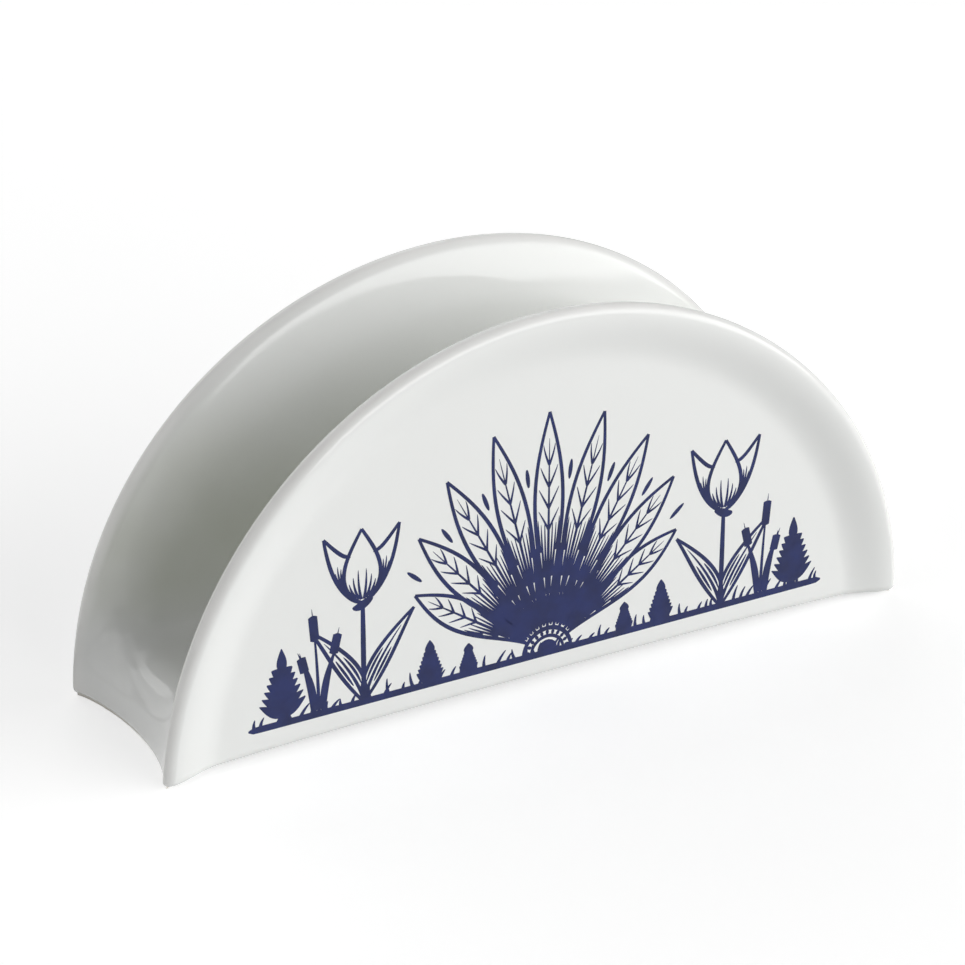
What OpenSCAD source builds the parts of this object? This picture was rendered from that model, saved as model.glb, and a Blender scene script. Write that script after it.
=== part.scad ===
// Napkin holder: a glazed porcelain letter-rack form. Two dished half-round walls stand
// either side of a raised trough, and the ends of the trough turn down into concave end
// faces that carry the holder on the table.
// X runs along the holder, Y from the front to the back, Z up from the table.

/* [Overall] */
// Length of the holder along the table, over the feet of the walls
holder_length = 150; // [120:1:190]
// Height of the walls above the table
holder_height = 71.6; // [58:0.1:74]
// Depth over the rims of the two walls where they meet the table
holder_depth = 40.6; // [34:0.1:56]

/* [Walls] */
// Thickness of the porcelain in the walls
wall_thick = 3.4; // [2.6:0.1:4.2]
// Set-back of the flat face behind the rim, at the table and at the crown
face_recess = 2.2; // [1:0.1:3]
// Further set-back of the flat face behind the rim at half height
rim_swell = 1.1; // [0:0.1:2]
// Width of the band along the rim in which a wall bends outward
flare_width = 11; // [8:0.5:18]
// Width of the upright part of that band, next to the rim
land_width = 1.2; // [0.5:0.1:3]
// Depth by which the inner face of a wall curves outward up to the rim
inner_dish = 3.4; // [2:0.1:4]
// How late the inner face bends out: 1 is a straight slope, more bends later
dish_bend_share = 1.25; // [1.1:0.05:2]

/* [Trough] */
// Height of the trough floor above the table
floor_height = 10.6; // [10:0.1:16]
// Thickness of the trough floor
floor_thick = 3.4; // [2.6:0.1:4.4]
// Roundness of the hollow corner between the floor and the walls
trough_fillet = 3.6; // [3:0.1:7]
// Distance of the trough's joints with the walls in from the inner faces of the walls
seam_inset = 2.8; // [1.5:0.1:5]

/* [End faces] */
// Thickness of the porcelain in the end faces
lip_thick = 2.6; // [2:0.1:3.2]
// Depth of the hollow curve of each end face, seen from above
end_recess = 3.6; // [1:0.1:8]
// Radius where an end face rolls over into the trough floor
roll_radius = 9; // [4:0.1:10]
// Height up the rim over which the end face narrows to the bare rim
merge_height = 20; // [16:0.5:34]

/* [Base] */
// Rise of the long bottom edges above the foot, at the middle of the length
base_relief = 1.2; // [0:0.1:3]
// Height of the unglazed foot under each end face
foot_height = 0.5; // [0.3:0.1:1]
// Width of the unglazed foot under each end face
foot_width = 1.2; // [0.8:0.1:1.8]

/* [Print] */
// Thickness of the fired print
print_thick = 0.15; // [0.1:0.05:0.3]
// Width of the drawn lines
line_width = 0.7; // [0.4:0.05:1.1]
// Distance of the ground line above the rounded bottom edge
ground_rise = 2.8; // [1.5:0.1:6]
// Distance of the ends of the ground line in from the edge of the flat face
ground_margin = 4.3; // [2:0.1:12]
// Thickness of the ground line
ground_thick = 1.4; // [0.8:0.1:2]
// Distance of the roots of the fan's leaves from its centre
fan_root = 5; // [4:0.1:8]
// Distance of the fan's middle leaf below the edge of the flat face
fan_margin = 8.2; // [2:0.1:20]
// Widest part of a leaf of the fan
fan_leaf_width = 5.6; // [4:0.1:6]
// Distance of each tulip's tip below the edge of the flat face
tulip_margin = 10; // [6:0.1:16]
// Distance between a tulip and the fern beside it
tulip_spacing = 15.5; // [11:0.1:20]
// Length of a petal, as a share of the tulip's height
petal_length_share = 0.42; // [0.3:0.01:0.5]
// Widest part of a petal
petal_width = 7; // [5:0.1:8]
// Length of the leaves beside a tulip's stem, as a share of the tulip's height
blade_length_share = 0.52; // [0.35:0.01:0.6]
// Widest part of the leaves beside a tulip's stem
blade_width = 3.6; // [2.4:0.1:4.5]
// Distance of each fern's tip below the edge of the flat face
fern_margin = 12.8; // [9:0.1:20]
// Distance of each fern in from the end of the ground line
fern_inset = 7; // [5:0.1:11]
// Length of the fern's leaflets before they taper, as a share of the fern's height
leaflet_length_share = 0.37; // [0.2:0.01:0.45]
// Widest part of a fern leaflet
leaflet_width = 1.6; // [1:0.1:2]

/* [Hidden] */
$fn = 48;

half_length = holder_length / 2;
// The rim is an arc through both feet and the crown
rim_radius = (half_length * half_length + holder_height * holder_height)
    / (2 * holder_height);
rim_centre = holder_height - rim_radius;
edge_round = wall_thick / 2;
lip_round = lip_thick / 2;
// Middle surface of a wall, where its face is flat
mid_depth = holder_depth / 2 - face_recess - edge_round;
flat_face = mid_depth + edge_round;
flat_radius = rim_radius - flare_width;
seam_half = flat_face - wall_thick - seam_inset;
// Share of each round edge that is ground away for the foot
wall_cut_share = foot_width / wall_thick;
lip_cut_share = foot_width / lip_thick;
wall_sink = edge_round * (1 - sqrt(1 - wall_cut_share * wall_cut_share));
lip_sink = lip_round * (1 - sqrt(1 - lip_cut_share * lip_cut_share));

// Stations along the rim from one foot to the other, and their arc length
STATIONS = 48;
foot_angle = asin((foot_height - rim_centre) / rim_radius);
rim_run = rim_radius * (90 - foot_angle) * PI / 180;

function limit(t) = min(1, max(0, t));
function ease(t) = let (k = limit(t)) k * k * (3 - 2 * k);
// Shares of full height along a round edge, from its crest to its full thickness
function round_share(s, size) = let (k = 1 - limit(s / size)) sqrt(1 - k * k);
function length_of(a) = sqrt(a.x * a.x + a.y * a.y);

// How far a round lower edge is drawn in at a height over the foot
function lip_draw(z) = lip_round * (1 - round_share(z - foot_height + lip_sink, lip_round));

// Distance in from the rim, and the middle surface of the wall there
function from_rim(p) = rim_radius - length_of([p.x, p.y - rim_centre]) - lip_draw(p.y);
function recess_at(z) =
    let (u = limit(z / holder_height)) face_recess + rim_swell * 4 * u * (1 - u);
function wall_mid(p) =
    let (r = length_of([p.x, p.y - rim_centre]),
         t = (r - flat_radius) / (flare_width - land_width))
    mid_depth + recess_at(p.y) * ease(t);
// Depth of the inner face of a wall, which opens out to the rim like a dish
function inner_face(p) =
    let (r = length_of([p.x, p.y - rim_centre]),
         t = limit((r - flat_radius) / flare_width))
    mid_depth + recess_at(p.y) - edge_round
        - inner_dish * (1 - pow(t, dish_bend_share));

// Station position from -1 at the left foot to 1 at the right foot
function place(i) = 2 * i / STATIONS - 1;
function rim_turn(u) = (90 - foot_angle) * sin(90 * u);
// Arc length from the nearer foot
function rim_walk(u) = rim_run * (1 - abs(rim_turn(u)) / (90 - foot_angle));

// Points in the plane of X and Z. First the rim
function rim_point(u) =
    let (a = rim_turn(u), z = rim_centre + rim_radius * cos(a),
         x = rim_radius * sin(abs(a)) - lip_draw(z))
    [sign(u) * x, z];
corner_x = rim_point(1).x;

// The long bottom edge, which rises towards the middle
function base_place(u) = (u + sin(rim_turn(u)) / sin(rim_turn(1))) / 2;
function base_point(u) =
    let (s = base_place(u))
    [corner_x * s, foot_height + base_relief * (1 - pow(abs(s), 3))];
function inner_base_point(u) =
    let (p = base_point(u)) [p.x * (corner_x - foot_width) / corner_x, p.y];

// The middle line of an end face and floor: up the face, over the roll, along the floor
function profile(walk, run, face_x, top, bend) =
    let (up = top - foot_height - bend, turn = bend * PI / 2,
         along = face_x - bend, w = walk * (up + turn + along) / run)
    w < up ? [face_x, foot_height + w]
    : w < up + turn
        ? let (a = (w - up) / bend * 180 / PI)
          [face_x - bend * (1 - cos(a)), top - bend * (1 - sin(a))]
        : [max(0, face_x - bend - (w - up - turn)), top];
outer_face_x = half_length - end_recess;
inner_face_x = outer_face_x - lip_thick;
ceiling_height = floor_height - floor_thick;
ceiling_roll = min(roll_radius, ceiling_height - 2 * foot_height);
function floor_point(u) =
    let (p = profile(rim_walk(u), rim_run, outer_face_x, floor_height, roll_radius))
    [sign(u) * (p.x - lip_draw(p.y)), p.y];
function ceiling_point(u) =
    let (p = profile(rim_walk(u), rim_run, inner_face_x, ceiling_height, ceiling_roll))
    [sign(u) * (p.x + lip_draw(p.y)), p.y];

// How fully the edge between wall and end face is a free, rounded rim
function free_share(u) = ease((rim_walk(u) - merge_height / 3) / (merge_height * 2 / 3));
// Exponents of the curve that a cross section follows from the wall to the floor
function side_power(u) = 2 + 1.2 * ease(rim_walk(u) / merge_height);
function floor_power(drop) =
    sqrt(0.49 + pow(drop / trough_fillet, 2));

// Depth of the skins from the middle plane of the holder
function inner_depth(u, p) =
    wall_mid(p) - (wall_mid(p) - inner_face(p)) * free_share(u)
        * round_share(from_rim(p), edge_round);
function outer_depth(u, p) =
    wall_mid(p) + edge_round * round_share(from_rim(p), edge_round)
    * round_share(p.y - base_point(u).y + wall_sink, edge_round);
function under_depth(u, p) =
    wall_mid(p) - edge_round * round_share(p.y - base_point(u).y + wall_sink, edge_round);

// Distances down a wall from its rim and up from its foot, close together at both ends,
// as shares of the radius of the round edge. On a short wall they draw in
rim_row_shares = [0, 0.08, 0.3, 0.62, 1, 2, 3.2, 4.6, 6.4, 9.6];
foot_row_shares = [5.3, 2.9, 1.4, 0.6, 0];
full_drop_share = 17.6;
function row_steps(drop) =
    let (k = min(edge_round, drop / full_drop_share))
    concat([for (a = rim_row_shares) a * k], [for (b = foot_row_shares) drop - b * k]);

// One cross section of the upper skin, from the seam up to the rim, in X, Y and Z
function upper_wall_row(u) =
    let (p = rim_point(u), q = floor_point(u), drop = length_of(q - p),
         m = side_power(u), n = floor_power(drop),
         b = seam_half / inner_depth(u, q),
         reach = drop * pow(1 - pow(b, m), 1 / n),
         steps = row_steps(reach), last = len(steps) - 1)
    [for (k = [last:-1:0])
        let (h = steps[k] / drop, at = p + (q - p) * h,
             share = pow(1 - pow(h, n), 1 / m))
        [at.x, k == last ? -seam_half : -share * inner_depth(u, at), at.y]];

// The same section across the trough, from one seam to the other
trough_row_shares = [1, 0.82, 0.6, 0.3, 0, -0.3, -0.6, -0.82, -1];
function upper_trough_row(u) =
    let (p = rim_point(u), q = floor_point(u), drop = length_of(q - p),
         m = side_power(u), n = floor_power(drop), b = seam_half / inner_depth(u, q))
    [for (k = trough_row_shares)
        let (at = p + (q - p) * pow(1 - pow(b * abs(k), m), 1 / n))
        [at.x, seam_half * k, at.y]];

// The outer face of a wall, from just below the rim down to the bottom edge
function outer_row(u) =
    let (p = rim_point(u), q = base_point(u), drop = length_of(q - p),
         steps = row_steps(drop))
    [for (k = [1:len(steps) - 1])
        drop == 0 ? [p.x, -wall_mid(p), p.y]
        : let (at = p + (q - p) * steps[k] / drop) [at.x, -outer_depth(u, at), at.y]];

// The under side, from the bottom edge up to the seam, and across the trough
under_row_shares = [0, 0.04, 0.14, 0.35, 0.65, 1];
function under_wall_row(u) =
    let (p = inner_base_point(u), q = ceiling_point(u), drop = length_of(q - p),
         m = side_power(u), n = floor_power(drop),
         b = seam_half / under_depth(u, q), reach = pow(1 - pow(b, m), 1 / n))
    [for (k = under_row_shares)
        let (h = reach * k, at = p + (q - p) * h)
        [at.x, k == 1 ? -seam_half : -pow(1 - pow(h, n), 1 / m) * under_depth(u, at),
         at.y]];
function under_trough_row(u) =
    let (p = inner_base_point(u), q = ceiling_point(u), drop = length_of(q - p),
         m = side_power(u), n = floor_power(drop), b = seam_half / under_depth(u, q))
    [for (k = trough_row_shares)
        let (at = p + (q - p) * pow(1 - pow(b * abs(k), m), 1 / n))
        [at.x, -seam_half * k, at.y]];

// Joins closed cross sections into one solid and closes its two ends
module loft(rows) {
    count = len(rows);
    size = len(rows[0]);
    points = [for (row = rows) each row];
    function corner(i, j) = i * size + j % size;
    function differ(t) = points[t[0]] != points[t[1]] && points[t[1]] != points[t[2]]
        && points[t[2]] != points[t[0]];
    sides = [for (i = [0:count - 2]) for (j = [0:size - 1])
        for (t = [[corner(i, j), corner(i + 1, j), corner(i + 1, j + 1)],
                  [corner(i, j), corner(i + 1, j + 1), corner(i, j + 1)]])
        if (differ(t)) t];
    function cap(i) = [for (j = [0:size - 1])
        if (points[corner(i, j)] != points[corner(i, j + 1)]) corner(i, j)];
    function reversed(a) = [for (k = [len(a) - 1:-1:0]) a[k]];
    polyhedron(points, concat(sides, [cap(0), reversed(cap(count - 1))]), convexity = 8);
}

module wall() {
    loft([for (i = [0:STATIONS]) let (u = place(i))
        concat(upper_wall_row(u), outer_row(u), under_wall_row(u))]);
}

module front_wall() {
    color("white") wall();
}

module back_wall() {
    color("white") mirror([0, 1, 0]) wall();
}

module trough() {
    color("whitesmoke")
        loft([for (i = [0:STATIONS]) let (u = place(i))
            concat(upper_trough_row(u), under_trough_row(u))]);
}

// The ground, unglazed strip under one end face
module foot() {
    outer = concat([for (p = upper_wall_row(1)) [p.x, p.y]]);
    inner = concat([for (p = under_wall_row(1)) [p.x, p.y]]);
    middle = [for (p = upper_trough_row(1)) [p.x, p.y]];
    inner_middle = [for (p = under_trough_row(1)) [p.x, p.y]];
    function flip(a) = [for (p = a) [p.x, -p.y]];
    function reversed(a) = [for (k = [len(a) - 1:-1:0]) a[k]];
    linear_extrude(foot_height)
        polygon(concat(reversed(outer), reversed(middle), flip(outer),
                       flip(inner), reversed(inner_middle), reversed(inner)));
}

module left_foot() {
    color("linen") mirror([1, 0, 0]) foot();
}

module right_foot() {
    color("linen") foot();
}

// The print keeps to the flat face: its half width there at a height above the table, and
// its height above the ground line at a distance from the middle
ground_height = foot_height + base_relief + edge_round + ground_rise;
function flat_half_width(z) = sqrt(flat_radius * flat_radius - pow(z - rim_centre, 2));
function flat_headroom(x) =
    rim_centre + sqrt(flat_radius * flat_radius - x * x) - ground_height;
ground_half = flat_half_width(ground_height) - ground_margin;
fern_offset = ground_half - fern_inset;
fern_height = flat_headroom(fern_offset) - fern_margin;
leaflet_length = fern_height * leaflet_length_share;
tulip_offset = fern_offset - tulip_spacing;
tulip_height = flat_headroom(tulip_offset) - tulip_margin;
petal_length = tulip_height * petal_length_share;
blade_length = tulip_height * blade_length_share;
fan_length = flat_headroom(0) - fan_root + line_width / 2 - fan_margin;

// Outline of a pointed leaf that grows upward from the origin. A larger bulge share sets
// its widest part nearer to the tip
LEAF_STEPS = 12;
function leaf_edge(length, width, bulge_share, side, order) =
    [for (k = order) let (t = k / LEAF_STEPS)
        [side * width / 2 * sin(180 * pow(t, bulge_share)), length * t]];
function leaf_outline(length, width, bulge_share) =
    concat(leaf_edge(length, width, bulge_share, 1, [0:LEAF_STEPS]),
           leaf_edge(length, width, bulge_share, -1, [LEAF_STEPS - 1:-1:1]));
petal_bulge_share = 0.75;
fan_bulge_share = 1.35;

// A leaf drawn as one closed line
module drawn_leaf(length, width, bulge_share) {
    difference() {
        polygon(leaf_outline(length, width, bulge_share));
        translate([0, 3 * line_width])
            polygon(leaf_outline(length - 5 * line_width, width - 2 * line_width,
                                 bulge_share));
    }
}

module ground_line() {
    translate([-ground_half, -ground_thick / 2]) square([2 * ground_half, ground_thick]);
    for (side = [-1, 1])
        translate([side * ground_half, 0]) circle(d = ground_thick);
}

// Leaves that spread like a fan, the middle one longest
FAN_LEAVES = 9;
fan_turn = 14;
module fan() {
    for (k = [0:FAN_LEAVES - 1])
        let (step = k - (FAN_LEAVES - 1) / 2, share = 1 - 0.022 * step * step)
        rotate(-step * fan_turn)
            translate([0, fan_root - line_width / 2])
            drawn_leaf(fan_length * share, fan_leaf_width, fan_bulge_share);
    difference() {
        circle(r = fan_root);
        circle(r = fan_root - line_width);
        translate([-fan_root, -2 * fan_root]) square(2 * fan_root);
    }
}

petal_turn = 26;
blade_turn = 24;
module tulip() {
    cup = tulip_height - petal_length;
    translate([-line_width / 2, 0]) square([line_width, cup + line_width]);
    translate([0, cup]) drawn_leaf(petal_length, petal_width, petal_bulge_share);
    for (side = [-1, 1]) {
        difference() {
            translate([0, cup]) rotate(side * petal_turn)
                drawn_leaf(petal_length, petal_width, petal_bulge_share);
            translate([0, cup])
                polygon(leaf_outline(petal_length, petal_width, petal_bulge_share));
        }
        rotate(side * blade_turn) drawn_leaf(blade_length, blade_width, petal_bulge_share);
    }
}

LEAFLETS = 5;
leaflet_turn = 58;
module fern() {
    translate([-line_width / 2, 0]) square([line_width, fern_height - leaflet_length / 2]);
    for (k = [1:LEAFLETS]) for (side = [-1, 1])
        let (share = 1 - 0.12 * k)
        translate([0, (fern_height - leaflet_length) * k / LEAFLETS])
            rotate(side * leaflet_turn)
            polygon(leaf_outline(leaflet_length * share, leaflet_width,
                                 petal_bulge_share));
    translate([0, fern_height - leaflet_length])
        polygon(leaf_outline(leaflet_length, leaflet_width, petal_bulge_share));
}

// The whole print, drawn with its ground line at height 0
module print_drawing() {
    ground_line();
    fan();
    for (side = [-1, 1]) {
        translate([side * tulip_offset, 0]) tulip();
        translate([side * fern_offset, 0]) fern();
    }
}

module wall_print() {
    translate([0, -flat_face, ground_height]) rotate([90, 0, 0])
        linear_extrude(print_thick) print_drawing();
}

module front_print() {
    color("royalblue") wall_print();
}

module back_print() {
    color("royalblue") rotate([0, 0, 180]) wall_print();
}

front_wall();
back_wall();
trough();
left_foot();
right_foot();
front_print();
back_print();
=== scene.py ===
"""Finishes the napkin holder: one glazed porcelain skin over the cast body, bare clay feet,
two fired cobalt prints, and a pale table with soft studio light.

Lengths are metres, X runs along the holder, Y from its front to its back, Z up.
"""

import math

import bmesh
import bpy
from bpy.props import FloatProperty, FloatVectorProperty, IntProperty, PointerProperty
from mathutils import Matrix, Vector


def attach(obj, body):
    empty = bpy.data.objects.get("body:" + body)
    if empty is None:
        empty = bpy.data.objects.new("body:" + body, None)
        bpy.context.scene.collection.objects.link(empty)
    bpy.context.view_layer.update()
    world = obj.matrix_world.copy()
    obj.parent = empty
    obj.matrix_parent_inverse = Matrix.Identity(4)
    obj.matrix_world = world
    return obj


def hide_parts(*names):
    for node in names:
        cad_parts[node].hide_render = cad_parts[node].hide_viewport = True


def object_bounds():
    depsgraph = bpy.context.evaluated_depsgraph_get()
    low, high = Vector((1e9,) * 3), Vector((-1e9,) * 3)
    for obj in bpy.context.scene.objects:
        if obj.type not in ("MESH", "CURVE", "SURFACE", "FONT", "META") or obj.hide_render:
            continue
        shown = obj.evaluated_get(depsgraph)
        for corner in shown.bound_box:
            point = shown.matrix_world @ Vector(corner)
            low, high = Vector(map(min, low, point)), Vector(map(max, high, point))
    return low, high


bl_info = {
    "name": "Porcelain napkin holder",
    "version": (1, 0, 0),
    "blender": (4, 5, 0),
    "location": "View3D > Sidebar > Napkin holder",
    "description": "Glazes a napkin holder, fires its prints on and sets it on a pale table",
    "category": "Object",
}

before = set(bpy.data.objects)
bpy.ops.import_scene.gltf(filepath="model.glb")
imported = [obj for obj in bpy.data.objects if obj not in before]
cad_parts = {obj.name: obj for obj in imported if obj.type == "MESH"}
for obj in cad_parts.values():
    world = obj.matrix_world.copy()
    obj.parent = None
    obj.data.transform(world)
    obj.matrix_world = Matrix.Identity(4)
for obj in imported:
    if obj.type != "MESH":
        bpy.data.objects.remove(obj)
CAST_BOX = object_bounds()

# Columns of the skin from foot to foot, and rows across the floor, a wall and a round edge
STATIONS = 200
FLOOR_ROWS, WALL_ROWS, EDGE_ROWS = 12, 42, 8
# Share of the trough's half width that counts as its floor
FLOOR_SHARE = 0.82
# How quickly the inner face bends out towards the rim
DISH_POWER = 1.25
# Up to what height painted shade darkens the inner walls of the slot, and the height over
# which it fades out, both counted in heights of the trough's floor
SLOT_SHADE_TOP, SLOT_SHADE_FADE = 2.5, 3.0
# Points of the skin and of the ink that lie closer than this are one point
SKIN_GAP, INK_GAP = 1e-6, 1e-8
# Least run between the two edges of a cross section
LEAST_RUN = 1e-7
# Powers that shape a section of the trough: across it at the feet and what it gains inward,
# and the square of the least power towards the floor
FOOT_POWER, INWARD_GAIN, LEAST_POWER_SQUARED = 2.0, 1.2, 0.49
# Share of a run that a round edge may take up, and the share of even spacing in its rows
EDGE_LIMIT, EVEN_ROWS = 0.25, 0.4

# Leaves of the fan and the angle from one to the next
FAN_LEAVES, FAN_TURN = 9, math.radians(14)
# Ticks inside the fan's hub and the angle from one to the next
HUB_TICKS, TICK_TURN = 11, math.radians(16)
# Pairs of leaflets on a fern and their slant
LEAFLET_PAIRS, LEAFLET_TURN = 6, math.radians(56)
# Blades of grass on the ground line
GRASS_BLADES = 62

# Share of the ink's thickness that lies under the face
INK_SUNK = 0.3

# Each fired surface: the roughness on its plain socket, the least roughness, what mottling
# adds to that, the depth of its bumps in metres, and their strength
GLAZE_FINISH = (0.09, 0.07, 0.04, 0.00002, 0.5)
INK_FINISH = (0.14, 0.12, 0.08, 0.00001, 0.4)
CLAY_FINISH = (0.85, 0.78, 0.15, 0.00005, 0.8)
# How strongly the glaze and the ink bend light
GLAZE_IOR, INK_IOR = 1.46, 1.42
# Least share of each tint that shows in the glaze, and what mottling adds to it: painted
# shade low in the slot, and a rim tint that is thin glaze and painted light
SLOT_SHADE_SHARE, RIM_TINT_AND_LIGHT_SHARE, TINT_GAIN = 0.45, 0.5, 0.4
# The ink's mottling per metre, how much lighter its light tone is, and how far that shows
INK_MOTTLE, INK_LIGHTER, INK_LIGHT_SHARE = 260.0, 1.7, 0.6
# Tone of the darkest clay, and the share of fine grain in its bumps
CLAY_DARKER, CLAY_GRAIN = 0.86, 0.8
# Mottling of the table per metre, and the tone of its darkest part
TABLE_MOTTLE, TABLE_DARKER = 9.0, 0.985

# What the table adds to the light of the lamps where it is seen, straight or mirrored, and
# the white of the room that the glaze mirrors
TABLE_GLOW = 0.5
ROOM_MIRRORED = 0.5

# Point that the lamps face
LAMP_TARGET = (0.0, 0.0, 0.035)
# Right and up directions of the camera, its shift in widths of the picture, the width of its
# sensor in millimetres, and the nearest and farthest distance that it sees
CAMERA_RIGHT = (0.868222, -0.496163, 0.003495)
CAMERA_UP = (0.214217, 0.381205, 0.899327)
CAMERA_SHIFT_X, CAMERA_SHIFT_Y = -0.0074, 0.0397
SENSOR_WIDTH = 36.0
NEAREST, FARTHEST = 0.01, 50.0


def length(name, description, default):
    """A length that a user can set, in metres."""
    return FloatProperty(
        name=name, description=description, default=default, min=0.0, precision=5,
        subtype="DISTANCE", unit="LENGTH",
    )


def colour(name, description, default):
    """A colour that a user can set."""
    return FloatVectorProperty(
        name=name, description=description, default=default, size=3,
        min=0.0, max=1.0, subtype="COLOR",
    )


class PorcelainShape(bpy.types.PropertyGroup):
    """Sizes of the cast body."""

    holder_length: length("Length", "Length over the feet of the walls", 0.150)
    height: length("Height", "Height of the walls", CAST_BOX[1].z)
    depth: length("Depth", "Depth over the walls where they meet the table", 0.0406)
    wall: length("Wall", "Thickness of the walls", 0.0034)
    recess: length("Face recess", "Set-back of the flat face behind the rim", 0.0022)
    swell: length("Rim swell", "Further set-back at half height", 0.0011)
    flare: length("Flare", "Width of the band between the flat face and the rim", 0.011)
    land: length("Land", "Width of the upright part of that band along the rim", 0.0012)
    dish: length("Inner dish", "Depth by which the inner face curves out to the rim", 0.0034)
    floor: length("Floor height", "Height of the trough floor", 0.0106)
    floor_thick: length("Floor", "Thickness of the trough floor", 0.0034)
    fillet: length("Fillet", "Roundness between the floor and the walls", 0.0036)
    lip: length("Lip", "Thickness of the end faces", 0.0026)
    hollow: length("End hollow", "Depth of the hollow curve of an end face", 0.0036)
    roll: length("Roll", "Radius where an end face rolls over", 0.009)
    merge: length("Merge", "Height over which an end face narrows to the rim", 0.020)
    relief: length("Relief", "Rise of the long bottom edges", 0.0012)
    foot_height: length("Foot height", "Height of the bare foot", 0.0005)
    foot_width: length("Foot width", "Width of the bare foot", 0.0012)


class PrintDrawing(bpy.types.PropertyGroup):
    """Sizes of the fired print."""

    ink: length("Ink", "Thickness of the fired ink", 0.00004)
    line: length("Line", "Width of a drawn line", 0.00075)
    face: length("Face", "Distance of the flat face from the middle", 0.0181)
    ground: length("Ground", "Height of the ground line above the table", 0.0062)
    ground_half: length("Ground half", "Half length of the ground line", 0.059)
    ground_thick: length("Ground line", "Thickness of the ground line", 0.0013)
    root: length("Fan root", "Distance of the leaves from the fan's centre", 0.005)
    fan: length("Fan leaf", "Length of the fan's middle leaf", 0.0415)
    fan_width: length("Fan width", "Widest part of a leaf of the fan", 0.0056)
    tulip: length("Tulip", "Height of a tulip", 0.033)
    tulip_offset: length("Tulip offset", "Distance of a tulip from the middle", 0.0365)
    petal: length("Petal", "Length of a petal", 0.0139)
    petal_width: length("Petal width", "Widest part of a petal", 0.007)
    blade: length("Blade", "Length of a leaf beside a tulip", 0.0172)
    blade_width: length("Blade width", "Widest part of such a leaf", 0.0036)
    fern: length("Fern", "Height of a fern", 0.015)
    fern_offset: length("Fern offset", "Distance of a fern from the middle", 0.052)
    leaflet: length("Leaflet", "Length of the lowest leaflet", 0.0055)
    reed: length("Reed", "Height of the reeds between a tulip and a fern", 0.021)
    reed_offset: length("Reed offset", "Distance of the reeds from the middle", 0.0452)
    grass: length("Grass", "Height of the grass on the ground line", 0.0028)


class FiredFinish(bpy.types.PropertyGroup):
    """Colours of the glaze, its painted slot shade and painted rim light, the ink and the bare
    clay.
    """

    glaze: colour("Glaze", "White glaze over the porcelain", (0.865, 0.875, 0.858))
    # Olive grey painted shade on the low inner walls of the slot
    slot_shade_tint: colour("Painted slot shade", "Where the glaze lies thick", (0.715, 0.735, 0.660))
    # Creamy tint of thin glaze on the rim crest, made lighter than the glaze as painted light
    thin: colour("Thin glaze and rim light", "Where the glaze runs thin on the rim", (0.93, 0.925, 0.905))
    ink: colour("Cobalt", "Fired cobalt ink", (0.0085, 0.0155, 0.083))
    clay: colour("Bare clay", "Unglazed feet", (0.80, 0.77, 0.71))
    seed: IntProperty(name="Seed", description="Seed of the grass", default=7, min=0)


class StudioStage(bpy.types.PropertyGroup):
    """Table, lamps and camera."""

    table: colour("Table", "Pale table top", (0.80, 0.80, 0.80))
    table_size: length("Table size", "Width of the table top", 2.6)
    eye: FloatVectorProperty(
        name="Camera", description="Place of the camera", size=3,
        default=(-0.265730, -0.460716, 0.282924), subtype="TRANSLATION", unit="LENGTH",
    )
    lens: FloatProperty(
        name="Lens", description="Focal length of the camera in millimetres",
        default=123.53, min=20.0, max=400.0,
    )


# Node trees


class Term:
    """A number in a node tree. Sums, products and powers of terms add Math nodes."""

    def __init__(self, tree, socket):
        self.tree, self.socket = tree, socket

    def _math(self, operation, *terms, clamp=False):
        node = add_node(self.tree, "ShaderNodeMath")
        node.operation, node.use_clamp = operation, clamp
        for socket, term in zip(node.inputs, terms):
            plug(self.tree, socket, term)
        return Term(self.tree, node.outputs[0])

    def __add__(self, other):
        return self._math("ADD", self, other)

    def __radd__(self, other):
        return self._math("ADD", other, self)

    def __sub__(self, other):
        return self._math("SUBTRACT", self, other)

    def __rsub__(self, other):
        return self._math("SUBTRACT", other, self)

    def __mul__(self, other):
        return self._math("MULTIPLY", self, other)

    def __rmul__(self, other):
        return self._math("MULTIPLY", other, self)

    def __truediv__(self, other):
        return self._math("DIVIDE", self, other)

    def __rtruediv__(self, other):
        return self._math("DIVIDE", other, self)

    def __pow__(self, other):
        return self._math("POWER", self, other)

    def __rpow__(self, other):
        return self._math("POWER", other, self)

    def __neg__(self):
        return self._math("MULTIPLY", self, -1.0)

    def __abs__(self):
        return self._math("ABSOLUTE", self)

    def __gt__(self, other):
        return self._math("GREATER_THAN", self, other)

    def __lt__(self, other):
        return self._math("LESS_THAN", self, other)

    def limit(self):
        """This number, kept between 0 and 1."""
        return self._math("ADD", self, 0.0, clamp=True)

    def ease(self):
        """A smooth step from 0 to 1."""
        k = self.limit()
        return k * k * (3.0 - 2.0 * k)

    def root(self):
        return self._math("SQRT", self)

    def sin(self):
        return self._math("SINE", self)

    def cos(self):
        return self._math("COSINE", self)

    def arcsine(self):
        return self._math("ARCSINE", self)

    def sign(self):
        return self._math("SIGN", self)

    def rounded(self):
        return self._math("ROUND", self)

    def least(self, other):
        return self._math("MINIMUM", self, other)

    def most(self, other):
        return self._math("MAXIMUM", self, other)


def add_node(tree, kind):
    """A new node, laid out in rows so that the tree can be read."""
    count = len(tree.nodes)
    node = tree.nodes.new(kind)
    node.location = (170 * (count % 30), -220 * (count // 30))
    return node


def plug(tree, socket, term):
    """Joins a term or a socket to a node's input, or writes a plain value there."""
    if isinstance(term, Term):
        tree.links.new(term.socket, socket)
    elif isinstance(term, bpy.types.NodeSocket):
        tree.links.new(term, socket)
    elif term is not None:
        socket.default_value = term


def node_with(tree, kind, settings=None, **inputs):
    """A node with its settings made and its inputs joined by name."""
    node = add_node(tree, kind)
    for key, value in (settings or {}).items():
        setattr(node, key, value)
    for name, value in inputs.items():
        plug(tree, node.inputs[name.replace("_", " ")], value)
    return node


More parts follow.
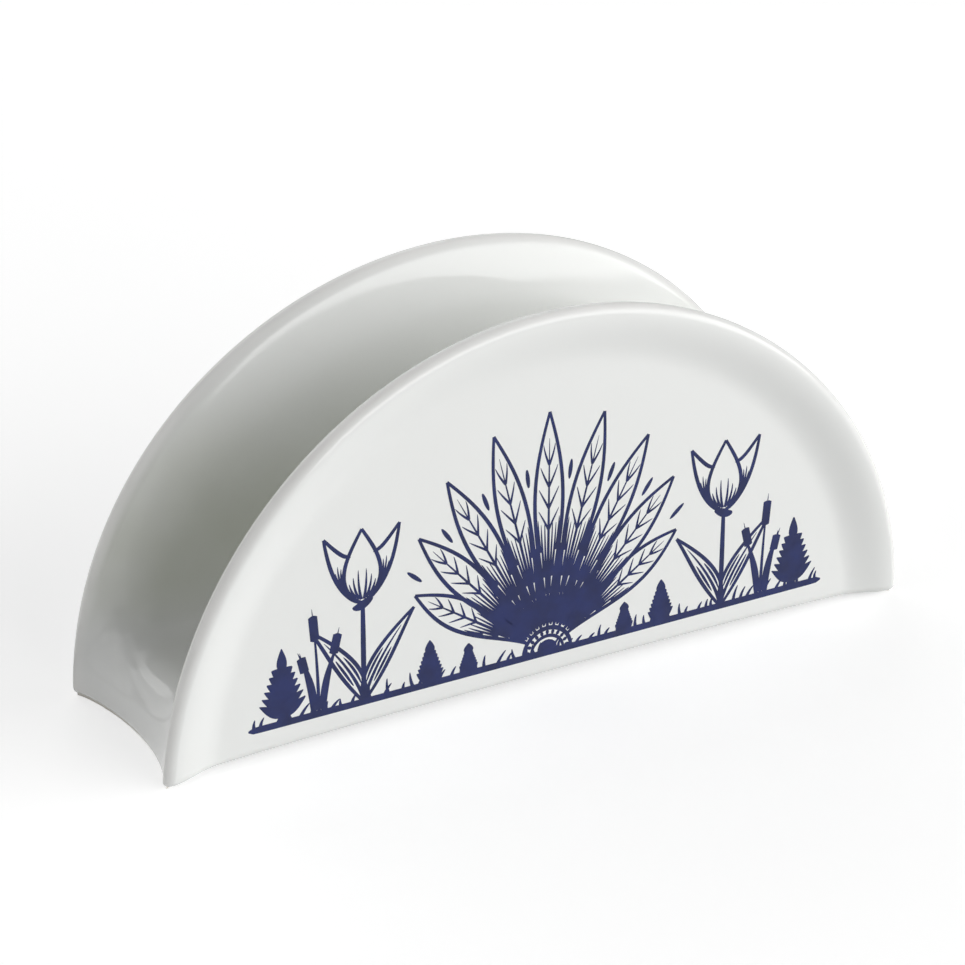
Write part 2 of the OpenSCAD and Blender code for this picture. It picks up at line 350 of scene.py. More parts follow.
def pick(mask, chosen, otherwise):
    """The chosen number where the mask is 1, the other where it is 0."""
    tree = mask.tree
    node = add_node(tree, "ShaderNodeMix")
    for socket, term in zip((node.inputs[0], node.inputs[2], node.inputs[3]),
                            (mask, otherwise, chosen)):
        plug(tree, socket, term)
    return Term(tree, node.outputs[0])


def vector(tree, x, y, z):
    """Three numbers as one vector."""
    return node_with(tree, "ShaderNodeCombineXYZ", X=x, Y=y, Z=z).outputs[0]


def number_inputs(group):
    """The numbers of a property group by name, as a tree's inputs take them."""
    return {p.name: getattr(group, p.identifier) for p in group.bl_rna.properties
            if p.type == "FLOAT" and not p.is_array}


def start_tree(name, sizes):
    """An empty geometry tree with one named input for each size."""
    tree = bpy.data.node_groups.new(name, "GeometryNodeTree")
    tree.is_modifier = True
    tree.interface.new_socket("Geometry", in_out="OUTPUT",
                              socket_type="NodeSocketGeometry")
    for label, value in sizes.items():
        socket = tree.interface.new_socket(label, in_out="INPUT",
                                           socket_type="NodeSocketFloat")
        socket.subtype, socket.default_value = "DISTANCE", value
    entry = add_node(tree, "NodeGroupInput")
    return tree, {label: Term(tree, entry.outputs[label]) for label in sizes}


def end_tree(tree, geometry, material):
    """Ends a tree in real geometry with its material."""
    real = node_with(tree, "GeometryNodeRealizeInstances", Geometry=geometry)
    dressed = node_with(tree, "GeometryNodeSetMaterial", Geometry=real.outputs[0],
                        Material=material)
    plug(tree, add_node(tree, "NodeGroupOutput").inputs[0], dressed.outputs[0])


def run_tree(tree, sizes, name):
    """Runs a tree with its sizes and returns the result as an object with a plain mesh."""
    seed = bpy.data.objects.new(name + "_maker", bpy.data.meshes.new(name + "_maker"))
    bpy.context.scene.collection.objects.link(seed)
    maker = seed.modifiers.new("Maker", "NODES")
    maker.node_group = tree
    for item in tree.interface.items_tree:
        if item.in_out == "INPUT" and item.name in sizes:
            maker[item.identifier] = sizes[item.name]
    depsgraph = bpy.context.evaluated_depsgraph_get()
    mesh = bpy.data.meshes.new_from_object(
        seed.evaluated_get(depsgraph), preserve_all_data_layers=True, depsgraph=depsgraph)
    bpy.data.objects.remove(seed)
    if not mesh.polygons:
        raise RuntimeError(f"{name} came out empty")
    mesh.name = name
    return link_mesh(mesh, name)


def store(tree, geometry, name, value):
    """Keeps a number on the points of a geometry under a name."""
    node = node_with(tree, "GeometryNodeStoreNamedAttribute", {"data_type": "FLOAT"},
                     Geometry=geometry, Name=name, Value=value)
    return node.outputs[0]


def join(tree, *parts):
    """Several geometries as one, in their order."""
    node = add_node(tree, "GeometryNodeJoinGeometry")
    for part in reversed(parts):
        tree.links.new(part, node.inputs[0])
    return node.outputs[0]


def link_mesh(mesh, name):
    """A new object in the scene that holds a mesh."""
    piece = bpy.data.objects.new(name, mesh)
    bpy.context.scene.collection.objects.link(piece)
    return piece


def close_seams(mesh, gap):
    """Merges the points that meet, turns every face outward and smooths the shading. Returns
    how many edges don't join two faces."""
    work = bmesh.new()
    work.from_mesh(mesh)
    bmesh.ops.remove_doubles(work, verts=work.verts, dist=gap)
    bmesh.ops.dissolve_degenerate(work, edges=work.edges, dist=gap / 10)
    bmesh.ops.recalc_face_normals(work, faces=work.faces)
    open_edges = sum(1 for e in work.edges if len(e.link_faces) != 2)
    work.to_mesh(mesh)
    work.free()
    mesh.shade_smooth()
    return open_edges


# Porcelain body


def round_share(distance, radius):
    """Share of full thickness at a distance in from the crest of a round edge."""
    k = 1.0 - (distance / radius).limit()
    return (1.0 - k * k).root()


def body_tree(sizes, glaze):
    """The whole skin as one rule: cross sections that follow the arc of the rim. Each runs
    from the trough's middle up a wall, over the rim, down the outer face, round the bottom
    edge and back along the under side. The second half is its mirror image."""
    tree, size = start_tree("Porcelain body", sizes)
    half_length, height = size["Length"] / 2.0, size["Height"]
    rim_radius = (half_length * half_length + height * height) / (2.0 * height)
    rim_centre = height - rim_radius
    edge_round, lip_round = size["Wall"] / 2.0, size["Lip"] / 2.0
    mid_depth = size["Depth"] / 2.0 - size["Face recess"] - edge_round
    flat_radius = rim_radius - size["Flare"]
    foot, foot_width = size["Foot height"], size["Foot width"]
    wall_cut, lip_cut = foot_width / size["Wall"], foot_width / size["Lip"]
    wall_sink = edge_round * (1.0 - (1.0 - wall_cut * wall_cut).root())
    lip_sink = lip_round * (1.0 - (1.0 - lip_cut * lip_cut).root())
    half_turn = math.pi / 2 - ((foot - rim_centre) / rim_radius).arcsine()
    rim_run = rim_radius * half_turn

    # A grid whose X is the place along the rim, with one more column at each end that
    # closes the strip under the foot, and whose Y is the row across the section
    upper = FLOOR_ROWS + WALL_ROWS + EDGE_ROWS
    outer = 2 * EDGE_ROWS + WALL_ROWS
    last = 2 * upper + outer + 1
    step = 2.0 / STATIONS
    grid = add_node(tree, "GeometryNodeMeshGrid")
    for name, value in (("Size X", 2 + 2 * step), ("Size Y", last),
                        ("Vertices X", STATIONS + 3), ("Vertices Y", last + 1)):
        grid.inputs[name].default_value = value
    place = node_with(tree, "ShaderNodeSeparateXYZ",
                      Vector=add_node(tree, "GeometryNodeInputPosition").outputs[0])
    x_grid, y_grid = Term(tree, place.outputs[0]), Term(tree, place.outputs[1])
    closing = abs(x_grid) > 1.0 + step / 2
    u = x_grid.least(1.0).most(-1.0)
    row = (y_grid + last / 2).rounded()
    mirrored = row.least(last - row)
    row = pick(closing, mirrored.least(float(upper)), row)
    is_under = row > upper + outer + 0.5
    is_outer = (row > upper + 0.5) * (1.0 - is_under)
    side = u.sign()

    # The rim, the long bottom edge, and the middle lines of the end face and the floor
    def lip_draw(z):
        return lip_round * (1.0 - round_share(z - foot + lip_sink, lip_round))

    turn = half_turn * (u * (math.pi / 2)).sin()
    walk = rim_run * (1.0 - abs(turn) / half_turn)
    rim_z = rim_centre + rim_radius * turn.cos()
    rim_x = rim_radius * abs(turn).sin() - lip_draw(rim_z)
    corner_x = rim_radius * half_turn.sin() - lip_round * (1.0 - lip_cut)
    base = abs(u + turn.sin() / half_turn.sin()) / 2.0
    base_x = corner_x * base
    base_z = foot + size["Relief"] * (1.0 - base ** 3.0)
    inner_base_x = base_x * (corner_x - foot_width) / corner_x

    def middle_line(face_x, top, draw, bend):
        up, roll = top - foot - bend, bend * (math.pi / 2)
        way = walk * (up + roll + face_x - bend) / rim_run
        angle = ((way - up) / roll).limit() * (math.pi / 2)
        z = foot + way.least(up) + bend * angle.sin()
        x = face_x - bend * (1.0 - angle.cos()) - (way - up - roll).most(0.0)
        return x.most(0.0) + draw * lip_draw(z), z

    end_x = half_length - size["End hollow"]
    floor_x, floor_z = middle_line(end_x, size["Floor height"], -1.0,
                                   size["Roll"])
    ceiling = size["Floor height"] - size["Floor"]
    under_x, under_z = middle_line(end_x - size["Lip"], ceiling, 1.0,
                                   size["Roll"].least(ceiling - 2.0 * foot))

    # Each row starts at p on an edge and runs towards q
    p_x = pick(is_under, inner_base_x, rim_x)
    p_z = pick(is_under, base_z, rim_z)
    q_x = pick(is_outer, base_x, pick(is_under, under_x, floor_x))
    q_z = pick(is_outer, base_z, pick(is_under, under_z, floor_z))
    drop = ((q_x - p_x) ** 2.0 + (q_z - p_z) ** 2.0).root().most(LEAST_RUN)
    side_power = FOOT_POWER + INWARD_GAIN * (walk / size["Merge"]).ease()
    floor_power = (LEAST_POWER_SQUARED + (drop / size["Fillet"]) ** 2.0).root()

    # Rows lie closer to each other near both edges of a run
    def spread(t):
        return EVEN_ROWS * t + (1.0 - EVEN_ROWS) * t.ease()

    quarter = math.pi / 2
    k = row.least(last - row)
    b = FLOOR_SHARE * (k / FLOOR_ROWS).least(1.0)
    reach = drop * (1.0 - FLOOR_SHARE ** side_power) ** (1.0 / floor_power)
    edge = edge_round.least(reach * EDGE_LIMIT)
    over = ((k - (FLOOR_ROWS + WALL_ROWS)) / EDGE_ROWS).limit()
    down = ((FLOOR_ROWS + WALL_ROWS - k) / WALL_ROWS).limit()
    run = edge * (1.0 - ((1.0 - over) * quarter).cos()) + (reach - edge) * spread(down)
    on_floor = k < FLOOR_ROWS - 0.5
    h_skin = pick(on_floor, (1.0 - b ** side_power) ** (1.0 / floor_power), run / drop)
    width = pick(on_floor, b, (1.0 - h_skin ** floor_power) ** (1.0 / side_power))

    i = row - upper
    edge = edge_round.least(drop * EDGE_LIMIT)
    face_run = (edge * (1.0 - ((i / EDGE_ROWS).limit() * quarter).cos())
                + (drop - 2.0 * edge) * spread(((i - EDGE_ROWS) / WALL_ROWS).limit())
                + edge * (((i - EDGE_ROWS - WALL_ROWS) / EDGE_ROWS).limit() * quarter).sin())
    h = pick(is_outer, face_run / drop, h_skin)
    x, z = p_x + (q_x - p_x) * h, p_z + (q_z - p_z) * h

    # Depth of the wall there, rounded at the rim and at the bottom edge
    radius = (x * x + (z - rim_centre) ** 2.0).root()
    band = ((radius - flat_radius) / (size["Flare"] - size["Land"])).ease()
    level = (z / height).limit()
    recess = size["Face recess"] + size["Rim swell"] * 4.0 * level * (1.0 - level)
    wall_mid = mid_depth + band * recess
    opening = ((radius - flat_radius) / size["Flare"]).limit() ** DISH_POWER
    inner = mid_depth + recess - edge_round - size["Inner dish"] * (1.0 - opening)
    from_rim = rim_radius - radius - lip_draw(z)
    rim_share = round_share(from_rim, edge_round)
    base_share = round_share(z - base_z + wall_sink, edge_round)
    # The inner face parts from the middle of the wall over the last two thirds of the merge
    free = ((walk - size["Merge"] / 3.0) / (size["Merge"] * 2.0 / 3.0)).ease()
    y = pick(is_outer, wall_mid + edge_round * rim_share * base_share,
             width * pick(is_under, wall_mid - edge_round * base_share,
                          wall_mid - (wall_mid - inner) * free * rim_share))

    # Masks for the rim crest, whose tint is thin glaze and painted light, and for painted shade
    # low on the inner walls of the slot. The grid keeps both before it is shaped
    crest = (1.0 - (from_rim / edge_round).limit()).ease() * (1.0 - is_under)
    # Painted shade on the inner walls of the slot: it grows from the floor up, then fades out
    # higher up
    floors_up = z / size["Floor height"]
    above = (floors_up - 1.0).limit().ease()
    fading = ((floors_up - SLOT_SHADE_TOP) / SLOT_SHADE_FADE).limit().ease()
    slot_shade_mask = above * (1.0 - fading) * (1.0 - is_outer) * (1.0 - is_under)
    skin = store(tree, grid.outputs["Mesh"], "thin_glaze_and_rim_light", crest)
    skin = store(tree, skin, "painted_slot_shade", slot_shade_mask)
    shaped = node_with(tree, "GeometryNodeSetPosition", Geometry=skin,
                       Position=vector(tree, side * x, -y, z))
    front = shaped.outputs[0]
    back = node_with(tree, "GeometryNodeTransform", Geometry=front, Scale=(1, -1, 1))
    back = node_with(tree, "GeometryNodeFlipFaces", Mesh=back.outputs[0])
    whole = join(tree, front, back.outputs[0])
    whole = node_with(tree, "GeometryNodeMergeByDistance", Geometry=whole,
                      Distance=SKIN_GAP)
    smooth = node_with(tree, "GeometryNodeSetShadeSmooth", Geometry=whole.outputs[0])
    end_tree(tree, smooth.outputs[0], glaze)
    return tree


# Prints


class Drawing:
    """Pen strokes in the plane of X and Y of a geometry tree. Plain numbers in a shape are
    shares of a length or a width, weights count line widths, and turns are radians."""

    def __init__(self, tree, line):
        self.tree, self.line = tree, line

    def stroke(self, points, shape, taper="both", weight=1.0):
        """One stroke. shape turns the share along it into X and Y, and taper says at which
        of its ends it thins out."""
        tree = self.tree
        base = add_node(tree, "GeometryNodeCurvePrimitiveLine")
        dots = node_with(tree, "GeometryNodeResampleCurve", Curve=base.outputs[0],
                         Count=points)
        t = Term(tree, add_node(tree, "GeometryNodeSplineParameter").outputs["Factor"])
        width = {"both": lambda: (t * math.pi).sin().most(0.0) ** 0.6,
                 "end": lambda: (1.0 - t).most(0.0) ** 0.55,
                 "leaf": lambda: (t ** 0.7 * math.pi).sin().most(0.0),
                 "blunt": lambda: (1.0 - (2.0 * t - 1.0) ** 80.0).most(0.0).root(),
                 "none": lambda: 0.75 + 0.25 * (t * math.pi).sin()}[taper]()
        kept = store(tree, dots.outputs[0], "pen", width * self.line * (weight / 2.0))
        x, y = shape(t)
        drawn = node_with(tree, "GeometryNodeSetPosition", Geometry=kept,
                          Position=vector(tree, x, y, 0.0))
        return drawn.outputs[0]

    def moved(self, part, offset=(0.0, 0.0), turn=0.0, scale=(1.0, 1.0)):
        """A part scaled, then turned, then moved."""
        tree = self.tree
        node = node_with(tree, "GeometryNodeTransform", Geometry=part,
                         Translation=vector(tree, *offset, 0.0),
                         Rotation=(0.0, 0.0, turn), Scale=(*scale, 1.0))
        return node.outputs[0]

    def both_sides(self, part):
        """A part and its mirror image in X."""
        return join(self.tree, part, self.moved(part, scale=(-1.0, 1.0)))

    def repeated(self, part, count, place, turn, scale=lambda n: (1.0, 1.0)):
        """Copies of a part. place, turn and scale turn a copy's number into its own."""
        tree = self.tree
        number = Term(tree, add_node(tree, "GeometryNodeInputIndex").outputs[0])
        dots = node_with(tree, "GeometryNodePoints", Count=count,
                         Position=vector(tree, *place(number), 0.0))
        copies = node_with(tree, "GeometryNodeInstanceOnPoints", Points=dots.outputs[0],
                           Instance=part,
                           Rotation=vector(tree, 0.0, 0.0, turn(number)),
                           Scale=vector(tree, *scale(number), 1.0))
        return copies.outputs[0]

    def chance(self, low, high, seed):
        """A random number between two others, its own for each copy."""
        node = node_with(self.tree, "FunctionNodeRandomValue", {"data_type": "FLOAT"},
                         Seed=seed)
        node.inputs[2].default_value, node.inputs[3].default_value = low, high
        return Term(self.tree, node.outputs[1])


def leaf_side(t, wide, bulge):
    """Half width of a pointed leaf at a share of its length."""
    return wide / 2.0 * (t ** bulge * math.pi).sin()


def fan_leaf(pen, size):
    """A drawn leaf of the fan with its rib, its shading strokes and its veins."""
    tall, wide, bulge = size["Fan leaf"], size["Fan width"], 1.35
    half = [pen.stroke(28, lambda t: (leaf_side(t, wide, bulge), tall * t), "none")]
    # Shading strokes: how far out each lies, where it starts and how long it is
    for share, start, run in ((0.30, 0.16, 0.36), (0.58, 0.24, 0.26), (0.80, 0.36, 0.16)):
        half.append(pen.stroke(12, lambda t, c=share, a=start, d=run: (
            leaf_side(a + d * t, wide, bulge) * c, tall * (a + d * t)), "end", 0.8))
    for start in (0.46, 0.56, 0.66, 0.76):
        half.append(pen.stroke(8, lambda t, a=start: (
            leaf_side(a + 0.10 * t, wide, bulge) * 0.78 * t, tall * (a + 0.10 * t)),
            "end", 0.65))
    rib = pen.stroke(16, lambda t: (0.0, tall * (0.03 + 0.88 * t)), "end", 0.95)
    return join(pen.tree, pen.both_sides(join(pen.tree, *half)), rib)


def fan(pen, size):
    """Leaves spread from a half-round hub, with a solid inner leaf and a loose tip in each
    gap between two of them."""
    root, gaps = size["Fan root"], FAN_LEAVES - 1
    middle, middle_gap = (FAN_LEAVES - 1) / 2.0, (gaps - 1) / 2.0

    def on_arc(n, middle, reach):
        angle = (n - middle) * FAN_TURN
        return reach * angle.sin(), reach * angle.cos()

    def tip_place(n):
        x, y = on_arc(n, middle_gap, root * 6.6)
        return x, y * (1.0 - 0.006 * (n - middle_gap) ** 2.0)

    leaves = pen.repeated(
        fan_leaf(pen, size), FAN_LEAVES,
        lambda n: on_arc(n, middle, root),
        lambda n: (middle - n) * FAN_TURN,
        lambda n: (1.0, 1.0 - 0.022 * (n - middle) * (n - middle)))
    inner = pen.repeated(
        pen.stroke(16, lambda t: (0.0, size["Fan leaf"] * 0.40 * t), "leaf", 2.7), gaps,
        lambda n: on_arc(n, middle_gap, root), lambda n: (middle_gap - n) * FAN_TURN)
    tips = pen.repeated(
        pen.stroke(8, lambda t: (0.0, size["Grass"] * 1.5 * t), "both", 1.1), gaps,
        tip_place, lambda n: (middle_gap - n) * FAN_TURN)
    hub = [pen.stroke(32, lambda t, c=share: (
        root * c * (t * math.pi).cos(), root * c * (t * math.pi).sin()), "none", weight)
        for share, weight in ((0.97, 1.2), (0.66, 0.9))]
    hub.append(pen.stroke(12, lambda t: (root * 0.32 * (t * math.pi).cos(),
                                         root * 0.32 * (t * math.pi).sin()), "both", 2.6))
    ticks = pen.repeated(
        pen.stroke(6, lambda t: (0.0, root * (0.70 + 0.22 * t)), "both", 0.9), HUB_TICKS,
        lambda n: (0.0, 0.0), lambda n: (n - (HUB_TICKS - 1) / 2.0) * TICK_TURN)
    return join(pen.tree, leaves, inner, tips, ticks, *hub)


def tulip(pen, size):
    """A tulip with an open cup, and two bent leaves at its foot."""
    tall, petal, wide = size["Tulip"], size["Petal"], size["Petal width"]
    cup = tall - petal
    parts = [pen.stroke(16, lambda t: (0.0, cup * t), "none", 1.35)]
    middle = [pen.stroke(28, lambda t: (leaf_side(t, wide, 0.75), petal * t), "none")]
    for share, start, run in ((0.22, 0.05, 0.42), (0.50, 0.06, 0.32), (0.76, 0.08, 0.22)):
        middle.append(pen.stroke(12, lambda t, c=share, a=start, d=run: (
            leaf_side(a + d * t, wide, 0.75) * c, petal * (a + d * t)), "end", 0.8))

    # A side petal leans out: its outer edge, the edge that dips behind the middle petal,
    # and the shading between them
    def lean(t):
        return wide * (0.93 * (t ** 0.62 * (math.pi / 2)).sin() + 0.10 * t ** 3.0)

    middle.append(pen.stroke(28, lambda t: (lean(t), petal * 0.97 * t), "none"))
    middle.append(pen.stroke(16, lambda t: (
        wide * (1.03 - 0.72 * t - 0.10 * (t * math.pi).sin()),
        petal * (0.97 - 0.30 * t - 0.10 * (t * math.pi).sin())), "none"))
    for share, start, run in ((0.30, 0.20, 0.34), (0.55, 0.18, 0.40), (0.80, 0.16, 0.34)):
        middle.append(pen.stroke(12, lambda t, c=share, a=start, d=run: (
            leaf_side(a + d * t, wide, 0.75) * (1.0 - c) + lean(a + d * t) * c,
            petal * (a + d * t)), "end", 0.8))
    parts.append(pen.moved(pen.both_sides(join(pen.tree, *middle)), (0.0, cup)))
    parts.append(pen.moved(pen.stroke(
        12, lambda t: (wide * 0.30 * (t * 2.0 - 1.0), petal * 0.05 * (1.0 - t * math.pi).sin()),
        "both", 2.2), (0.0, cup)))

    blade, broad = size["Blade"], size["Blade width"]

    # A leaf bends outward, more and more towards its tip
    def bend(t):
        return blade * 0.42 * t ** 1.6

    leaf = []
    for side in (-1.0, 1.0):
        leaf.append(pen.stroke(22, lambda t, s=side: (
            bend(t) + s * leaf_side(t, broad, 0.8), blade * t), "none"))
    leaf.append(pen.stroke(14, lambda t: (bend(t * 0.85), blade * t * 0.85), "end"))
    for side in (-1.0, 1.0):
        leaf.append(pen.stroke(10, lambda t, s=side: (
            bend(0.2 + 0.4 * t) + s * 0.5 * leaf_side(0.2 + 0.4 * t, broad, 0.8),
            blade * (0.2 + 0.4 * t)), "both", 0.7))
    parts.append(pen.both_sides(pen.moved(join(pen.tree, *leaf), turn=-0.16)))
    return join(pen.tree, *parts)


def fern(pen, size):
    """A small fern: a stem and solid leaflets that shorten upward."""
    tall, leaflet = size["Fern"], size["Leaflet"]
    stem = pen.stroke(14, lambda t: (0.0, (tall - leaflet / 2.0) * t), "end", 2.6)
    blot = pen.stroke(10, lambda t: (0.0, leaflet * t), "leaf", 2.6)
    pairs = pen.both_sides(pen.repeated(
        blot, LEAFLET_PAIRS, lambda n: (0.0, (tall - leaflet) * (n + 0.8) / LEAFLET_PAIRS),
        lambda n: -LEAFLET_TURN,
        lambda n: (1.0 - 0.06 * n, 1.0 - 0.11 * n)))
    top = pen.moved(blot, (0.0, tall - leaflet), scale=(0.8, 0.9))
    return join(pen.tree, stem, pairs, top)


def reeds(pen, size):
    """Three reeds with solid heads and thin blades."""
    tall = size["Reed"]
    stem = pen.stroke(14, lambda t: (tall * 0.05 * t * t, tall * t), "end", 1.0)
    head = pen.stroke(14, lambda t: (tall * (0.022 + 0.019 * t), tall * (0.66 + 0.25 * t)),
                      "blunt", 2.3)
    one = join(pen.tree, stem, head)
    blade = pen.stroke(16, lambda t: (tall * (0.03 + 0.16 * t ** 1.8), tall * 0.62 * t),
                       "leaf", 1.7)
    return join(pen.tree, one, pen.moved(one, (-tall * 0.04, 0.0), 0.16, (-0.8, 0.78)),
                pen.moved(one, (tall * 0.05, 0.0), -0.13, (0.75, 0.62)),
                pen.both_sides(blade))


def print_tree(sizes, ink, seed):
    """The whole drawing swept into thin ribbons of ink that lie on the flat face."""
    tree, size = start_tree("Fired print", sizes)
    pen = Drawing(tree, size["Line"])
    ground, grass = size["Ground half"], size["Grass"]
    heavy = Drawing(tree, size["Ground line"])
    line = heavy.stroke(90, lambda t: (ground * (2.0 * t - 1.0), 0.0), "blunt")
    spray = pen.repeated(
        pen.stroke(8, lambda t: (grass * 0.25 * t * t, grass * t), "end", 1.0), GRASS_BLADES,
        lambda n: (ground * 0.975 * (n * (2.0 / (GRASS_BLADES - 1)) - 1.0)
                   + grass * pen.chance(-0.25, 0.25, seed + 2), grass * 0.1),
        lambda n: pen.chance(-0.55, 0.55, seed),
        lambda n: (1.0, pen.chance(0.45, 1.15, seed + 1)))
    leafy = fern(pen, size)
    plants = [pen.moved(tulip(pen, size), (size["Tulip offset"], 0.0)),
              pen.moved(reeds(pen, size), (size["Reed offset"], 0.0)),
              pen.moved(leafy, (size["Fern offset"], 0.0))]
    for share, grown in ((0.40, 0.60), (0.27, 0.42)):
        plants.append(pen.moved(leafy, (size["Ground half"] * share, 0.0),
                                scale=(grown, grown)))
    drawing = node_with(tree, "GeometryNodeRealizeInstances", Geometry=join(
        tree, line, fan(pen, size), pen.both_sides(join(tree, *plants)), spray))

    # Each stroke lies a little higher or lower than the ones that it crosses
    layered = node_with(tree, "GeometryNodeStoreNamedAttribute",
                        {"data_type": "FLOAT", "domain": "CURVE"},
                        Geometry=drawing.outputs[0], Name="layer",
                        Value=pen.chance(0.55, 1.0, seed + 3))
    level = node_with(tree, "GeometryNodeSetCurveNormal", {"mode": "Z_UP"},
                      Curve=layered.outputs[0])
    half = node_with(tree, "GeometryNodeInputNamedAttribute", {"data_type": "FLOAT"},
                     Name="pen")
    profile = node_with(tree, "GeometryNodeCurvePrimitiveQuadrilateral", Width=2.0,
                        Height=2.0)
    ribbon = node_with(tree, "GeometryNodeCurveToMesh", Curve=level.outputs[0],
                       Profile_Curve=profile.outputs[0], Scale=half.outputs[0],
                       Fill_Caps=True)
    layer = node_with(tree, "GeometryNodeInputNamedAttribute", {"data_type": "FLOAT"},
                      Name="layer")
    at = node_with(tree, "ShaderNodeSeparateXYZ",
                   Vector=add_node(tree, "GeometryNodeInputPosition").outputs[0])
    thick = size["Ink"]
    z = (Term(tree, at.outputs[2]) > 0.0) * Term(tree, layer.outputs[0]) * thick
    flat = node_with(tree, "GeometryNodeSetPosition", Geometry=ribbon.outputs[0],
                     Position=vector(tree, at.outputs[0], at.outputs[1],
                                     z - thick * INK_SUNK))
    upright = node_with(tree, "GeometryNodeTransform", Geometry=flat.outputs[0],
                        Rotation=(math.pi / 2, 0.0, 0.0),
                        Translation=vector(tree, 0.0, -size["Face"], size["Ground"]))
    end_tree(tree, upright.outputs[0], ink)
    return tree


# Finishes


def shader_group(name, inputs, outputs):
    """An empty shader group with its sockets, and its two end nodes."""
    group = bpy.data.node_groups.new(name, "ShaderNodeTree")
    for label, kind, value in inputs:
        socket = group.interface.new_socket(label, in_out="INPUT", socket_type=kind)
        if value is not None:
            socket.default_value = value
    for label, kind in outputs:
        group.interface.new_socket(label, in_out="OUTPUT", socket_type=kind)
    return group, add_node(group, "NodeGroupInput"), add_node(group, "NodeGroupOutput")


def fired_surface():
    """Slow mottling and fine ripples that every fired surface has, as a mask and a
    height, on Object coordinates."""
    group, entry, out = shader_group(
        "Fired surface",
        [("Mottle scale", "NodeSocketFloat", 45.0), ("Ripple scale", "NodeSocketFloat", 220.0),
         ("Grain scale", "NodeSocketFloat", 1600.0), ("Grain", "NodeSocketFloat", 0.1)],
        [("Mottle", "NodeSocketFloat"), ("Height", "NodeSocketFloat")])
    place = add_node(group, "ShaderNodeTexCoord")
    noises = []
    for label, detail in (("Mottle scale", 3.0), ("Ripple scale", 1.0), ("Grain scale", 2.0)):
        noise = node_with(group, "ShaderNodeTexNoise", Vector=place.outputs["Object"],
                          Scale=entry.outputs[label], Detail=detail)
        noises.append(Term(group, noise.outputs[0]))
    mottle, ripple, grain = noises
    share = Term(group, entry.outputs["Grain"])
    # The mask stretches the noise from 0.35 up to 0.65 to the range from 0 to 1
    plug(group, out.inputs["Mottle"], ((mottle - 0.35) / 0.3).limit())
    plug(group, out.inputs["Height"], ripple + grain * share)
    return group


def start_material(name, base, finish):
    """A material with its shader, its fired surface effects and their mottling. finish is
    one of the rows of finishes above."""
    plain, least, gain, depth, strength = finish
    material = bpy.data.materials.new(name)
    material.use_nodes = True
    tree = material.node_tree
    shader = tree.nodes["Principled BSDF"]
    shader.inputs["Base Color"].default_value = (*base, 1.0)
    shader.inputs["Roughness"].default_value = plain
    surface = add_node(tree, "ShaderNodeGroup")
    surface.node_tree = bpy.data.node_groups.get("Fired surface") or fired_surface()
    mottle = Term(tree, surface.outputs["Mottle"])
    plug(tree, shader.inputs["Roughness"], least + gain * mottle)
    bumps = node_with(tree, "ShaderNodeBump", Height=surface.outputs["Height"],
                      Distance=depth, Strength=strength)
    plug(tree, shader.inputs["Normal"], bumps.outputs[0])
    return material, shader, surface, mottle


def mix_colour(tree, share, first, second):
    """The first colour, with a share of the second in it."""
    node = node_with(tree, "ShaderNodeMix", {"data_type": "RGBA"})
    for socket, term in zip((node.inputs[0], node.inputs[6], node.inputs[7]),
                            (share, first, second)):
        plug(tree, socket, (*term, 1.0) if isinstance(term, (tuple, list)) else term)
    return node.outputs[2]


def toned(tree, share, base, factor):
    """A colour, with a share of a lighter or darker tone of it."""
    return mix_colour(tree, share, tuple(base), tuple(min(1.0, c * factor) for c in base))


def glaze_material(finish):
    """White glaze: olive grey painted shade low in the slot, and a lighter creamy rim crest
    that is partly thin glaze and partly painted light.
    """
    material, shader, _, mottle = start_material("glaze", finish.glaze, GLAZE_FINISH)
    tree, base = material.node_tree, tuple(finish.glaze)
    # Mixes in the painted slot shade, then the rim's tint of thin glaze and painted light
    for name, tint, least in (("painted_slot_shade", finish.slot_shade_tint, SLOT_SHADE_SHARE),
                              ("thin_glaze_and_rim_light", finish.thin, RIM_TINT_AND_LIGHT_SHARE)):
        mask = node_with(tree, "ShaderNodeAttribute", {"attribute_name": name})
        share = Term(tree, mask.outputs["Fac"]) * (least + TINT_GAIN * mottle)
        base = mix_colour(tree, share, base, tuple(tint))
    plug(tree, shader.inputs["Base Color"], base)
    shader.inputs["IOR"].default_value = GLAZE_IOR
    return material


def ink_material(finish):
    """Cobalt ink, a little lighter where the transfer took less of it."""
    material, shader, surface, mottle = start_material("cobalt", finish.ink, INK_FINISH)
    surface.inputs["Mottle scale"].default_value = INK_MOTTLE
    plug(material.node_tree, shader.inputs["Base Color"],
         toned(material.node_tree, mottle * INK_LIGHT_SHARE, finish.ink, INK_LIGHTER))
    shader.inputs["IOR"].default_value = INK_IOR
    return material


def clay_material(finish):
    """Bare fired clay, ground flat: matt, with grain."""
    material, shader, surface, mottle = start_material("bare clay", finish.clay, CLAY_FINISH)
    surface.inputs["Grain"].default_value = CLAY_GRAIN
    plug(material.node_tree, shader.inputs["Base Color"],
         toned(material.node_tree, mottle, finish.clay, CLAY_DARKER))
    return material


# Operators


class NAPKIN_OT_body(bpy.types.Operator):
    """Shapes and glazes the porcelain body as one skin"""

    bl_idname = "napkin_holder.body"
    bl_label = "Porcelain body"

    def execute(self, context):
        sizes = number_inputs(context.scene.porcelain_shape)
        glaze = glaze_material(context.scene.fired_finish)
        body = run_tree(body_tree(sizes, glaze), sizes, "porcelain_body")
        if close_seams(body.data, SKIN_GAP):
            raise RuntimeError("the porcelain skin has open edges")
        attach(body, "root")
        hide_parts("front_wall", "back_wall", "trough")
        return {"FINISHED"}


